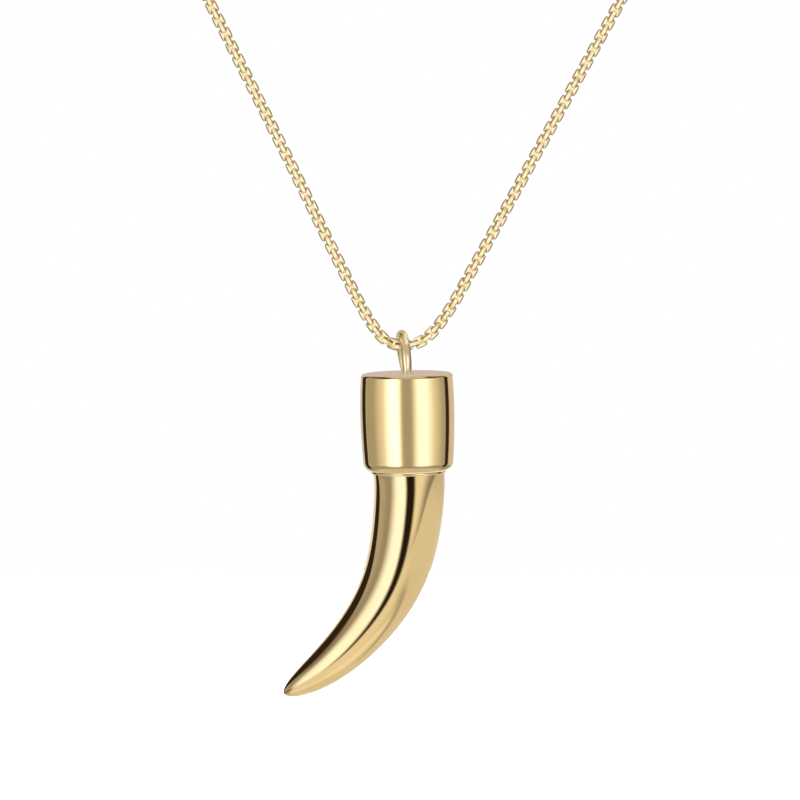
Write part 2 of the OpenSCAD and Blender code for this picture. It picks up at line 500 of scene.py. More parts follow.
@dataclass
class Bail:
    """Wire loop that stands on the cap and takes the chain, with its stem in the cap."""

    wire: float = 1.05
    height: float = 4.75
    room: float = 0.2
    chain: float = 1.2
    gap: float = 0.1
    twist: float = 10.0
    lean: float = 6.5
    stem: float = 1.2
    sides: int = 40
    leg_steps: int = 40
    crown_steps: int = 64
    dome_turn: float = 86.0
    dome_steps: int = 12

    @property
    def crown_r(self) -> float:
        """Radius of the crown's axis."""
        return self.chain / 2 + self.room + self.wire / 2

    @property
    def crown_h(self) -> float:
        """Height of the crown's middle above the cap."""
        return self.height - self.wire / 2 - self.crown_r

    def placement(self, tilt: float) -> Placement:
        """Place of the cap's top under the chain, as the bail hangs on it."""
        drop = self.height * math.cos(math.radians(self.lean)) - self.wire - self.gap - self.chain / 2
        return Placement(drop * math.tan(math.radians(self.lean)), drop, tilt)

    def form(self) -> Form:
        """Loop and stem.

        The loop's axis is half a circle over the top and two larger arcs that come down from
        it and meet at the foot. The stem is a straight wire with a round top, sunk in the cap.
        """
        leg_r = (self.crown_r**2 + self.crown_h**2) / (2 * self.crown_r)
        turn = math.degrees(math.asin(self.crown_h / leg_r))
        leg = arc((self.crown_r - leg_r, self.crown_h), leg_r, -turn, 0.0, self.leg_steps)
        crown = arc((0.0, self.crown_h), self.crown_r, 0.0, 180.0, self.crown_steps)[1:-1]
        plane = np.vstack([leg, crown, (leg * [-1, 1])[::-1]])
        path = np.stack([0 * plane[:, 0], plane[:, 0], plane[:, 1]], axis=-1)
        form = Form().add_rings(swept(path, AXIS_X, self.wire / 2, self.sides))
        dome = arc((0.0, 0.0), self.wire / 2, 0.0, self.dome_turn, self.dome_steps)
        foot = np.array([[self.wire / 2, -self.stem]])
        form.add_rings(revolved(np.vstack([foot, dome]), self.sides))
        return form.moved(lambda points: turned(turned(points, "z", self.twist), "y", -self.lean))


@dataclass
class Cap:
    """Turned barrel that holds the horn's root, with a hole in its top for the bail's stem."""

    width: float = 10.24
    height: float = 10.5
    belly: float = 0.38
    top_in: float = 0.16
    foot_in: float = 0.3
    top_round: float = 0.4
    foot_round: float = 0.8
    foot_rise: float = 1.04
    bead: float = 0.16
    hole_r: float = 0.685
    hole_deep: float = 1.3
    socket_r: float = 3.93
    socket_deep: float = 3.1
    break_edge: float = 0.05
    sides: int = 160
    side_steps: int = 25
    foot_steps: int = 24
    top_steps: int = 16
    bead_turn: tuple[float, float] = (-86.0, 80.0)
    bead_steps: int = 14
    rim_steps: int = 5

    def side(self, down: np.ndarray | float) -> np.ndarray | float:
        """Radius at a depth: half the width less a draw that grows as the square from the belly."""
        past = down / self.height - self.belly
        reach = np.where(past < 0, self.belly, 1 - self.belly)
        draw = np.where(past < 0, self.top_in, self.foot_in)
        return self.width / 2 - draw * (past / reach) ** 2

    def form(self) -> Form:
        """Solid of revolution: socket, bead, rounded foot edge, barrel, rounded top edge, hole.

        The bead is a fine round lip about the horn's root, and the foot's edge a quarter oval.
        """
        b = self.break_edge
        low = self.height - self.foot_rise
        foot_mid = (float(self.side(low)) - self.foot_round, -low)
        foot = arc((0.0, 0.0), 1.0, -90.0, 0.0, self.foot_steps)
        foot = foot * [self.foot_round, self.foot_rise] + foot_mid
        top_mid = (float(self.side(self.top_round)) - self.top_round, -self.top_round)
        downs = np.linspace(low, self.top_round, self.side_steps + 1)[1:-1]
        barrel = np.stack([self.side(downs), -downs], axis=-1)
        roof = -self.height + self.socket_deep
        rim = self.hole_r + b
        inside = self.socket_r - EASE
        lip = -self.height - self.bead
        profile = np.vstack([
            [[2 * TINY, roof], [self.socket_r - TINY, roof], [self.socket_r, roof - TINY]],
            [[self.socket_r, -self.height + b * 2], [inside, -self.height], [inside, lip]],
            arc((inside + TINY, lip), self.bead, *self.bead_turn, self.bead_steps),
            foot,
            barrel,
            arc(top_mid, self.top_round, 0.0, 90.0, self.top_steps),
            [[top_mid[0] - EASE, 0.0], [rim + EASE, 0.0]],
            arc((rim, -b), b, 90.0, 180.0, self.rim_steps),
            [[self.hole_r, -self.hole_deep + TINY], [self.hole_r - TINY, -self.hole_deep]],
            [[2 * TINY, -self.hole_deep]],
        ])
        return Form().add_rings(revolved(profile, self.sides))


@dataclass
class Horn:
    """Curved, tapering horn. The table's rows are shares of its drop, sweep and girth."""

    girth: float = 7.76
    drop: float = 24.2
    sweep: float = 14.0
    root: float = 3.0
    cap_height: float = 10.5
    rings: int = 220
    sides: int = 112
    degree: int = 6
    # Weight that holds the curves to the table's ends, and what is left at the last rings
    end_weight: float = 1000.0
    tip_left: tuple[float, float] = (1e-5, 1e-6)
    # Columns: share of the length, of the drop, of the sweep and of the root's diameter
    sections: tuple[tuple[float, float, float, float], ...] = (
        (0.00, 0.000, 0.000, 1.000),
        (0.10, 0.122, 0.000, 0.981),
        (0.20, 0.247, 0.024, 0.959),
        (0.30, 0.367, 0.064, 0.924),
        (0.40, 0.481, 0.128, 0.872),
        (0.50, 0.590, 0.224, 0.806),
        (0.60, 0.694, 0.350, 0.730),
        (0.70, 0.788, 0.497, 0.646),
        (0.80, 0.868, 0.651, 0.552),
        (0.90, 0.934, 0.809, 0.421),
        (1.00, 1.000, 1.000, 0.000),
    )

    def curve(self, shares: np.ndarray) -> np.polynomial.Polynomial:
        """Smooth polynomial over the sections, held to the first and last of them."""
        table = np.array(self.sections)
        hold = np.ones(len(table))
        hold[[0, -1]] = self.end_weight
        fit = np.polynomial.Polynomial.fit
        return fit(table[:, 0], shares, self.degree, w=hold, domain=[0, 1], window=[0, 1])

    def form(self) -> Form:
        """Rings square to a smooth centre line.

        The centre line goes down by the drop's share and aside by the sweep's share. A ring's
        radius is half the root's diameter times the square root of the squared girth's share.
        Rings crowd towards the tip as the square of the share that is left.
        """
        table = np.array(self.sections)
        down, aside = self.curve(table[:, 1]), self.curve(table[:, 2])
        round2 = self.curve(table[:, 3] ** 2)
        left = 1 - np.arange(self.rings) / self.rings
        t = np.append(1 - left**2, 1 - np.array(self.tip_left))
        mid = np.stack([-aside(t) * self.sweep, 0 * t, -self.cap_height - down(t) * self.drop], axis=-1)
        way = np.stack([-aside.deriv()(t) * self.sweep, 0 * t, -down.deriv()(t) * self.drop], axis=-1)
        radius = self.girth / 2 * np.sqrt(np.maximum(round2(t), 0))
        root = np.array([[0.0, 0.0, up - self.cap_height] for up in (self.root, TINY)])
        mid, way = np.vstack([root, mid]), np.vstack([[-AXIS_Z] * 2, way])
        radius = np.concatenate([[radius[0]] * 2, radius])
        return Form().add_rings(swept(mid, AXIS_Y, radius, self.sides, way))


@dataclass
class Pendant:
    """Horn, cap and bail, hung under the chain."""

    tilt: float = 1.05
    bail: Bail = field(default_factory=Bail)
    cap: Cap = field(default_factory=Cap)
    horn: Horn = field(default_factory=Horn)

    def build(self) -> None:
        """Makes the three pieces and dresses them."""
        place = self.bail.placement(self.tilt)
        for part, name, gold, slot, node in (
            (self.horn, "horn_body", HORN_GOLD, "horn_gold", "horn"),
            (self.cap, "cap_barrel", CAP_GOLD, "cap_gold", "cap"),
            (self.bail, "bail_loop", WIRE_GOLD, "wire_gold", "bail"),
        ):
            made = dress(part.form().moved(place).piece(name), gold, slot, PENDANT, node)
            # Kept out of each other's polish, where two bounces of gold would look orange
            made.visible_glossy = False


# Necklace


class Route:
    """Centre line of the chain, with its directions.

    Between two points the line is a cubic. Its slope at a point is the mean of the two chords
    beside it, each weighted by the other's length.
    """

    # Points from the left end to the right, from the chain's lowest point
    POINTS = (
        (-24, 105, 127), (-41, 95, 123.5), (-53, 83, 119.5), (-61, 68, 114), (-63.5, 50, 107.5),
        (-60, 34, 102), (-54, 21.5, 96), (-45, 9, 83.5), (-37.4, 2.3, 70), (-29.8, 0, 55),
        (-21.3, 0, 38), (-12.3, 0, 20), (-6.4, 0, 8), (-4.25, 0, 3.8), (-3.2, 0, 2.1),
        (-2.5, 0, 1.2), (-1.9, 0, 0.65), (-1.2, 0, 0.27), (0, 0, 0), (1.2, 0, 0.22),
        (1.9, 0, 0.5), (2.55, 0, 0.95), (3.2, 0, 1.55), (3.8, 0, 2.25), (4.9, 0, 3.8),
        (7.3, 0, 8), (13.9, 0, 20), (23.8, 0, 38), (33, 0, 55), (41, 2.3, 70),
        (48.5, 9, 83.5), (56, 21.5, 96), (61, 34, 102), (64, 50, 107.5), (61, 68, 114),
        (53, 83, 119.5), (41, 95, 123.5), (24, 105, 127),
    )
    # Points at which the line is worked out
    FINE = 24000
    # The front strands' length, and the length over which the links' out turns to upward
    FRONT, TURN = 60.0, 45.0
    FORWARD, SHOULDER = np.array([0.0, -1.0, 0.0]), np.array([0.0, -0.3, 1.0])
    # Distance over which the line's direction is read
    NEAR = 0.2

    def __init__(self, left_end: float, right_end: float) -> None:
        """Works the line out finely and measures along it from its lowest point.

        Args:
            left_end: place of the chain's left end along X.
            right_end: place of its right end.
        """
        inner = np.array(self.POINTS, dtype=float) + LOW
        rows = np.vstack([[left_end, 0.0, 0.0], inner, [right_end, 0.0, 0.0]])
        step = np.linalg.norm(np.diff(rows, axis=0), axis=1)
        at = np.concatenate([[0.0], np.cumsum(step)])
        chord = np.diff(rows, axis=0) / step[:, None]
        before, after = step[:-1, None], step[1:, None]
        inside = (chord[:-1] * after + chord[1:] * before) / (before + after)
        slope = np.vstack([chord[:1], inside, chord[-1:]])
        x = np.linspace(0.0, at[-1], self.FINE)
        i = np.clip(np.searchsorted(at, x, side="right") - 1, 0, len(step) - 1)
        h = step[i][:, None]
        u = (x - at[i])[:, None] / h
        self.line = (
            rows[i] * (1 + 2 * u) * (1 - u) ** 2
            + slope[i] * h * u * (1 - u) ** 2
            + rows[i + 1] * u**2 * (3 - 2 * u)
            + slope[i + 1] * h * u**2 * (u - 1)
        )
        length = np.concatenate([[0.0], np.cumsum(np.linalg.norm(np.diff(self.line, axis=0), axis=1))])
        low = np.argmin(np.linalg.norm(self.line - LOW, axis=1))
        self.places = length - length[low]

    def at(self, places: np.ndarray) -> np.ndarray:
        """Points at distances along the line from its lowest point."""
        return np.stack([np.interp(places, self.places, self.line[:, k]) for k in range(3)], axis=-1)

    def frames(self, places: np.ndarray) -> tuple[np.ndarray, np.ndarray, np.ndarray, np.ndarray]:
        """Points with three square directions: along the line, across it and out of the chest.

        Out of the chest is straight forward on the front strands and turns to upward over the
        shoulders, each made square to the line.

        Args:
            places: distances along the line from its lowest point.

        Returns:
            Points, and the directions along, across and out.
        """
        mid = self.at(places)
        along = unit(self.at(places + self.NEAR) - self.at(places - self.NEAR))
        back = np.clip((np.abs(places) - self.FRONT) / self.TURN, 0.0, 1.0)[:, None]
        back = back * back * (3 - 2 * back)
        guide = (1 - back) * self.FORWARD + back * self.SHOULDER
        out = unit(guide - (guide * along).sum(axis=-1, keepdims=True) * along)
        return mid, along, np.cross(out, along), out


@dataclass
class BoxChain:
    """Rounded box chain: square links with a bridge, each a quarter turn from the last."""

    width: float = 1.26
    length: float = 1.29
    band: float = 0.56
    end_wall: float = 0.21
    bridge: float = 0.27
    bridge_reach: float = 0.6
    saddle: float = 0.84
    pitch: float = 0.8
    # Place of the first link right of the lowest point, less its crowding towards the bail
    phase: float = -1.13
    crowd: float = 0.27
    crowd_reach: float = 3.0
    sway: float = 1.5
    unrest: float = 6.0
    seed: int = 11
    twist: float = 9.0
    twist_reach: float = 5.0
    end_link_length: float = 2.7
    end_link_wire: float = 0.34
    end_link_steps: int = 40
    end_link_sides: int = 12
    # How far before the chain's end the end link's directions are read
    end_look: float = 0.1
    # Columns, for a quarter: share of half the length, of half the width, of half the band,
    # and of half the width again at the inner outline
    outline: tuple[tuple[float, float, float, float], ...] = (
        (1.000, 0.400, 0.50, 0.28),
        (0.985, 0.660, 0.87, 0.45),
        (0.880, 0.910, 0.95, 0.46),
        (0.420, 0.995, 1.00, 0.38),
    )
    # Columns: share of the way from the outer to the inner outline, and of half the band
    section: tuple[tuple[float, float], ...] = (
        (0.00, 0.60), (0.39, 1.00), (1.00, 0.87), (1.00, -0.87), (0.39, -1.00), (0.00, -0.60),
    )
    # The bridge's upper edge: shares of half its thickness and of half the band
    bevel: tuple[tuple[float, float], ...] = ((0.8, 0.93), (1.0, 0.85))
    sharp: float = 30.0

    def link(self) -> tuple[np.ndarray, np.ndarray]:
        """One link about its middle, as along, across and out.

        The outline's quarter is mirrored to the other three, and the section's lines run round
        it, each at its share of the way inwards and of the band there. A bridge with bevelled
        edges joins the two sides, and its middle is lower by the saddle's share.

        Returns:
            Points and faces.
        """
        quarter = np.array(self.outline)
        turns = ((1, 1, 1), (-1, 1, -1), (-1, -1, 1), (1, -1, -1))
        rows = np.vstack([quarter[::step] * [x, y, 1, y] for x, y, step in turns])
        outer = rows[:, :2] * [self.length / 2, self.width / 2]
        inner = rows[:, (0, 3)] * [self.length / 2 - self.end_wall, self.width / 2]
        half = self.band / 2
        rings = np.stack([
            np.column_stack([outer + (inner - outer) * share, rows[:, 2] * half * out])
            for share, out in self.section
        ])
        n, m = rings.shape[:2]
        bevel = np.array(self.bevel)
        bevel = np.vstack([bevel, bevel[::-1] * [1, -1]])
        bevel = np.vstack([bevel, -bevel])
        reach = self.width / 2 * self.bridge_reach
        cuts = ((-reach, 1.0), (0.0, self.saddle), (reach, 1.0))
        bars = np.stack([
            np.insert(bevel * [self.bridge / 2, half * high], 1, y, axis=1) for y, high in cuts
        ])
        k = len(bevel)
        # Three faces close the eight points at each end of the bridge
        lid = np.array([(0, 1, 2, 3), (0, 3, 4, 7), (4, 5, 6, 7)])
        bridge = np.vstack([quads(len(cuts), k, False), lid[:, ::-1], lid + (len(cuts) - 1) * k])
        points = np.vstack([rings.reshape(-1, 3), bars.reshape(-1, 3)])
        return points, np.vstack([quads(n, m, True), bridge + n * m])

    def places(self, route: Route) -> tuple[np.ndarray, np.ndarray]:
        """Numbers and places of the links.

        The places are the phase plus the number times the pitch, less a crowding towards the
        bail, which grows as the hyperbolic tangent to its full value on both sides.

        Args:
            route: the chain's line.

        Returns:
            The links' numbers, and the places of their middles along the route.
        """
        spare = self.length / 2 + self.crowd
        first = math.ceil((route.places[0] + spare - self.phase) / self.pitch)
        last = math.floor((route.places[-1] - spare - self.phase) / self.pitch)
        index = np.arange(first, last + 1)
        place = self.phase + index * self.pitch
        return index, place - self.crowd * np.tanh(place / self.crowd_reach)

    def form(self, route: Route) -> Form:
        """All links, each second one a quarter turn round, and the two end links.

        Each link sways at random about the line, more so near the bail, and the chain twists
        there: both fall from the lowest point as the bell curve of the place over the reach.

        Args:
            route: the chain's line.

        Returns:
            The whole chain.
        """
        index, places = self.places(route)
        mid, along, across, out = route.frames(places)
        flat = (index % 2 == 0)[:, None]
        first = np.where(flat, across, out)
        second = np.where(flat, out, -across)
        bell = np.exp(-((places / self.twist_reach) ** 2))
        sway = np.random.default_rng(self.seed).normal(0.0, self.sway, len(index))
        sway = np.radians(sway * (1 + self.unrest * bell) + self.twist * bell)[:, None]
        u = np.cos(sway) * first + np.sin(sway) * second
        v = np.cos(sway) * second - np.sin(sway) * first
        points, faces = self.link()
        form = Form().add_copies(mid[:, None] + points @ np.stack([along, u, v], axis=1), faces)
        for end in (0, -1):
            form.add_rings(self.end_link(route, route.places[end], places[end]), looped=True)
        return form

    def end_link(self, route: Route, at: float, last: float) -> np.ndarray:
        """Oval wire link that joins the last box link to its jump ring.

        Its axis is an oval whose inner end lies in the last box link.

        Args:
            route: the chain's line.
            at: place of the chain's end.
            last: place of the last box link's middle.

        Returns:
            Rings for Form.add_rings, looped.
        """
        sign = math.copysign(1.0, at)
        place = np.array([at - sign * self.end_look])
        _, along, across, out = (v[0] for v in route.frames(place))
        inner = route.at(np.array([last + sign * self.length / 4]))[0]
        reach = along * (self.end_link_length - self.end_link_wire) / 2
        wide = out * (self.width - self.end_link_wire) / 2
        path = inner + sign * reach + circle(reach, wide, self.end_link_steps)
        way = circle(wide, -reach, self.end_link_steps)
        return swept(path, across, self.end_link_wire / 2, self.end_link_sides, way)


@dataclass
class Closure:
    """Spring ring at the nape, with its eye, bolt and thumb knob, and the two jump rings."""

    middle: float = 1.2
    width: float = 6.0
    tube: float = 1.2
    eye_width: float = 2.7
    eye_wire: float = 0.7
    ring_width: float = 3.4
    ring_wire: float = 0.6
    gap: float = 0.1
    knob_length: float = 0.8
    knob_width: float = 0.7
    knob_neck: float = 0.8
    knob_head: float = 0.5
    knob_slope: float = 0.12
    knob_round: float = 0.2
    bolt: float = 0.86
    bolt_hidden: float = 4.0
    mouth: tuple[float, float] = (18.0, 62.0)
    mouth_lip: float = 0.12
    wire_lip: float = 0.05
    eye_cut: float = 2.0
    ring_lip: float = 0.04
    ring_cut: float = 0.4
    ring_cuts: tuple[float, float] = (70.0, 250.0)
    wire_steps: int = 96
    wire_sides: int = 28
    lip_steps: int = 6
    knob_sides: int = 32
    knob_steps: int = 8

    @property
    def spring_r(self) -> float:
        """Radius of the spring ring's axis."""
        return (self.width - self.tube) / 2

    @property
    def eye_r(self) -> float:
        """Radius of the eye's axis."""
        return (self.eye_width - self.eye_wire) / 2

    @property
    def ring_r(self) -> float:
        """Radius of a jump ring's axis."""
        return (self.ring_width - self.ring_wire) / 2

    @property
    def eye_x(self) -> float:
        """Place of the eye's middle, soldered into the spring ring."""
        sink = (self.tube + self.eye_wire) / 4
        return self.middle - self.spring_r - self.tube / 2 - self.eye_r - self.eye_wire / 2 + sink

    @property
    def left_x(self) -> float:
        """Place of the left jump ring, which pulls on the eye."""
        return self.eye_x - self.eye_r + self.eye_wire / 2 + self.ring_wire / 2 + self.gap - self.ring_r

    @property
    def right_x(self) -> float:
        """Place of the right jump ring, which pulls on the spring ring."""
        return self.middle + self.spring_r - self.tube / 2 - self.ring_wire / 2 - self.gap + self.ring_r

    def ends(self) -> tuple[float, float]:
        """Places of the chain's two ends, just clear of the jump rings."""
        reach = self.ring_r + self.ring_wire / 2 + self.gap
        return self.left_x - reach, self.right_x + reach

    def bow(
        self, mid_x: float, radius: float, start: float, end: float, wire: float, upright: bool, lip: float
    ) -> np.ndarray:
        """Rings of a wire bent into part of a circle, with rounded ends.

        The axis is the circle's middle plus its radius times cosine and sine, upright or flat.
        Near each end the wire's radius falls by a quarter circle of the lip's radius.

        Args:
            mid_x: place of the circle's middle along X.
            radius: circle's radius.
            start: first angle in degrees.
            end: last angle in degrees.
            wire: wire's thickness.
            upright: whether the circle stands in the plane across Y.
            lip: radius of the rounding at the ends.

        Returns:
            Rings for Form.add_rings.
        """
        back, thin = round_end(lip, self.lip_steps)
        turn = np.degrees(back / radius)
        inner = np.linspace(start + turn[0], end - turn[0], self.wire_steps + 1)[1:-1]
        a = np.radians(np.concatenate([start + turn[::-1], inner, end - turn]))
        radii = wire / 2 + np.concatenate([thin[::-1], 0 * inner, thin])
        x, y = mid_x + radius * np.cos(a), radius * np.sin(a)
        path = np.stack([x, 0 * a, y] if upright else [x, y, 0 * a], axis=-1)
        return swept(path, AXIS_Y if upright else AXIS_Z, radii, self.wire_sides)

    def spring(self) -> Form:
        """Tube with its mouth, the bolt that closes it, the eye and the domed thumb knob."""
        form = Form()
        first, last = self.mouth
        hidden, cut = self.bolt_hidden, self.eye_cut
        for mid_x, r, start, end, wire, lip in (
            (self.middle, self.spring_r, last, 360.0 + first, self.tube, self.mouth_lip),
            (self.middle, self.spring_r, first - hidden, last + hidden, self.bolt, self.wire_lip),
            (self.eye_x, self.eye_r, cut, 360.0 - cut, self.eye_wire, self.wire_lip),
        ):
            form.add_rings(self.bow(mid_x, r, start, end, wire, True, lip))
        foot, top = self.spring_r, self.spring_r + self.tube / 2 + self.knob_length
        r, edge = self.knob_width / 2, self.knob_round
        dome = arc((r - edge, top - edge), edge, 0.0, 90.0, self.knob_steps)
        neck, head = r * self.knob_neck, top - self.knob_head
        profile = np.vstack([[[neck, foot], [neck, head - self.knob_slope], [r, head]], dome, [[TINY, top]]])
        return form.add_rings(revolved(profile, self.knob_sides) + self.middle * AXIS_X)

    def jump_ring(self, mid_x: float, cut: float) -> Form:
        """Flat wire ring whose two cut ends meet at an angle."""
        start, end = cut + self.ring_cut, cut + 360.0 - self.ring_cut
        rings = self.bow(mid_x, self.ring_r, start, end, self.ring_wire, False, self.ring_lip)
        return Form().add_rings(rings)


@dataclass
class Necklace:
    """Chain and closure, which stay still while the pendant swings."""

    chain: BoxChain = field(default_factory=BoxChain)
    closure: Closure = field(default_factory=Closure)

    def build(self) -> None:
        """Makes the chain, the jump rings and the spring ring and dresses them."""
        route = Route(*self.closure.ends())
        chain = self.chain.form(route).piece("box_chain", self.chain.sharp)
        dress(chain, CHAIN_GOLD, "chain_gold", NECKLACE, "chain")
        shut = self.closure
        for side, mid_x, cut in zip(("left", "right"), (shut.left_x, shut.right_x), shut.ring_cuts):
            ring = shut.jump_ring(mid_x, cut).piece("jump_ring_" + side)
            dress(ring, WIRE_GOLD, "wire_gold", NECKLACE, "ring_" + side)
        dress(shut.spring().piece("spring_ring"), CLASP_GOLD, "clasp_gold", NECKLACE, "clasp")


# Studio


# Colours of what little comes from the dark places, and of the brightest panels
DARK = (1.0, 0.67, 0.52)
COOL = (0.9, 1.0, 1.28)


@dataclass(frozen=True)
class Panel:
    """Soft panel, gap or flag of the studio, by the directions in which the polish sees it.

    Azimuth is measured from the camera's side towards its right, elevation from level. Soft
    holds half the width of the fades at the left, right, low and high edge. Drift slants the
    left and right edge: degrees of azimuth for each degree of elevation.
    """

    name: str
    azimuth: tuple[float, float]
    elevation: tuple[float, float]
    level: float
    soft: tuple[float, float, float, float] = (4.0, 4.0, 4.0, 4.0)
    drift: tuple[float, float] = (0.0, 0.0)
    tint: tuple[float, float, float] = (1.0, 1.0, 1.0)

    def over(self, board: Board, below: object, azimuth: Signal, elevation: Signal) -> object:
        """Lays the panel over what is below it.

        The panel's share is the product of four fades, one for each edge.

        Args:
            board: the tent's nodes.
            below: colour below the panel.
            azimuth: direction's azimuth in degrees.
            elevation: its elevation in degrees.

        Returns:
            The colour with the panel on it.
        """
        (left, right), (low, high) = self.azimuth, self.elevation
        *aside, below_low, over_high = self.soft
        share = elevation.fade(low - below_low, low + below_low)
        share = share * elevation.fade(high + over_high, high - over_high)
        if right - left < 360:
            middle = (left + right) / 2
            turn = board.math("WRAP", azimuth - middle, 180.0, -180.0)
            half = (right - left) / 2
            for sign, soft, slant in zip((-1, 1), aside, self.drift):
                edge = turn - elevation * slant if slant else turn
                share = share * edge.fade(sign * (half + soft), sign * (half - soft))
        return board.mix(share, below, rgba(tuple(self.level * t for t in self.tint)))


@dataclass(frozen=True)
class Surround:
    """Wide tent of soft panels that lights only some pieces, as a photographer lights each in turn.

    It is a sphere that glows in its panels, lets all light through and is seen only in the
    polish of its pieces. No two tents have the same radius, so that light meets each in turn.
    """

    name: str
    pieces: tuple[str, ...]
    base: float
    panels: tuple[Panel, ...]
    radius: float
    sides: int = 64
    pole: float = 88.0

    def glow(self, board: Board) -> bpy.types.NodeSocket:
        """Colour of the tent in each direction from its middle: the panels over the base.

        Args:
            board: the tent's nodes.

        Returns:
            The colour's socket.
        """
        place = board.node("ShaderNodeTexCoord").outputs["Object"]
        middle = tuple(float(v) for v in LOW * MM)
        way = board.vector("NORMALIZE", board.vector("SUBTRACT", place, middle))
        x, y, z = board.parts(way)
        degree = 180 / math.pi
        azimuth = board.math("ARCTAN2", x, y * -1.0) * degree
        elevation = board.math("ARCSINE", z) * degree
        colour = rgba((self.base,) * 3)
        for panel in self.panels:
            colour = panel.over(board, colour, azimuth, elevation)
        return colour

    def build(self) -> None:
        """Makes the sphere about the chain's lowest point, its material and its list of pieces."""
        side = arc((0.0, 0.0), self.radius, -self.pole, self.pole, self.sides // 2)
        made = Form().add_rings(revolved(side, self.sides) + LOW).piece(self.name)
        material, board = new_material(self.name)
        glow = board.node("ShaderNodeEmission", {}, {"Color": self.glow(board), "Strength": 1.0})
        clear = board.node("ShaderNodeBsdfTransparent")
        both = board.node("ShaderNodeAddShader", {}, {0: glow.outputs[0], 1: clear.outputs[0]})
        board.surface(both)
        made.data.materials.append(material)
        made.visible_camera = made.visible_shadow = made.visible_diffuse = False
        lit = bpy.data.collections.new(self.name + "_pieces")
        for name in self.pieces:
            lit.objects.link(bpy.data.objects[name])
        made.light_linking.receiver_collection = lit


ROUND = (-180, 180)
HORN_TENT = Surround("horn_tent", ("horn_body",), 0.75, (
    Panel("below", ROUND, (-90, -60), 1.05, (0, 0, 0, 8)),
    Panel("low front", (-50, 62), (-62, -44), 0.98, (14, 14, 6, 4)),
    Panel("front floor", (-48, 30), (-50, -19), 0.88, (14, 12, 6, 4)),
    Panel("left floor", (-110, -60), (-62, -19), 0.45, (8, 8, 6, 4)),
    Panel("floor streak", (-29, -11), (-58, -30), 0.47, (8, 8, 4, 6), (-2.0, -2.0)),
    Panel("side wall", (40, 150), (-9, 40), 0.63, (10, 12, 5, 6)),
    Panel("back light", (167, 190), (-60, 30), 1.25, (9, 8, 10, 10)),
    Panel("left back", (-188, -130), (-60, 17), 0.85, (4, 6, 10, 4)),
    Panel("overhead", ROUND, (33, 90), 0.04, (0, 0, 8, 0), tint=DARK),
    Panel("back flag", (-190, -140), (17, 60), 0.04, (3, 3, 4, 3), tint=DARK),
    Panel("left gap", (-139, -50), (-30, 60), 0.03, (2.5, 6, 8, 6), tint=DARK),
    Panel("left fill", (-108, -45), (-17, 24), 0.47, (2.5, 6, 6, 12), (0.9, 0.0)),
    Panel("left shade", (-84, -58), (-22, 24), 0.35, (14, 8, 6, 10)),
    Panel("left softbox", (-50.5, -8), (-17, 22), 1.42, (18, 3.5, 6, 9), tint=COOL),
    Panel("right shade", (10, 110), (-16.5, 3), 0.29, (3, 1.2, 3, 2), (0.0, 4.6)),
    Panel("right foot", (10, 76), (-18, 3), 0.92, (4, 15, 5, 2), (0.0, 3.0)),
    Panel("lens", (-10.5, 25.2), (-23.5, 30), 0.02, (6.5, 6, 2.5, 4), (0.0, 0.74), DARK),
), 2000.0)
CAP_TENT = Surround("cap_tent", ("cap_barrel",), 0.67, (
    Panel("floor", ROUND, (-90, -42), 0.85, (0, 0, 0, 6)),
    Panel("foot shade", (-150, 150), (-42, -18), 0.38, (6, 6, 6, 4)),
    Panel("back light", (164, 184), (-60, -1), 1.2, (12, 3, 10, 2)),
    Panel("far wall", (150, 210), (1, 14), 0.60, (6, 6, 1.5, 4), tint=(1.06, 0.90, 0.85)),
    Panel("overhead", (-120, 120), (28, 62), 0.04, (6, 6, 8, 6), tint=DARK),
    Panel("overhead middle", (-52, 58), (28, 62), 0.5, (8, 8, 8, 6)),
    Panel("skylight", ROUND, (66, 90), 1.0, (0, 0, 6, 0), tint=COOL),
    Panel("fill", (-121, 104), (-18, 28), 0.43, (1.5, 1.5, 4, 8)),
    Panel("left haze", (-80, -14), (-20, 28), 0.85, (16, 5, 6, 8)),
    Panel("left softbox", (-52, -20.5), (-24, 28), 2.1, (16, 7, 10, 8), tint=COOL),
    Panel("right haze", (20, 83), (-20, 28), 0.85, (14, 20, 6, 8)),
    Panel("right softbox", (20, 57), (-24, 28), 1.68, (14, 17, 10, 8), tint=COOL),
    Panel("left gap", (-145.5, -123.5), (-30, 60), 0.03, (1.5, 1.5, 6, 6), tint=DARK),
    Panel("right gap", (105.5, 122), (-30, 60), 0.03, (1.5, 1.5, 6, 6), tint=DARK),
), 2200.0)
CHAIN_TENT = Surround("chain_tent", ("box_chain",), 0.35, (
    Panel("warm walls", ROUND, (-90, 90), 0.10, (0, 0, 0, 0), tint=(1.0, 0.76, 0.42)),
    Panel("rear", (128, 232), (-54, 50), 0.6, (12, 12, 12, 12)),
    Panel("front", (-50, 50), (-54, 45), 1.27, (12, 12, 12, 12), tint=(1.0, 1.03, 1.6)),
    Panel("middle", (-12, 12), (-60, 50), 0.76, (5, 5, 12, 12), tint=(1.0, 1.0, 0.85)),
    Panel("front light", (-9, 9), (-17, 9), 1.16, (5, 5, 6, 6), tint=(1.0, 1.12, 1.45)),
), 2400.0)
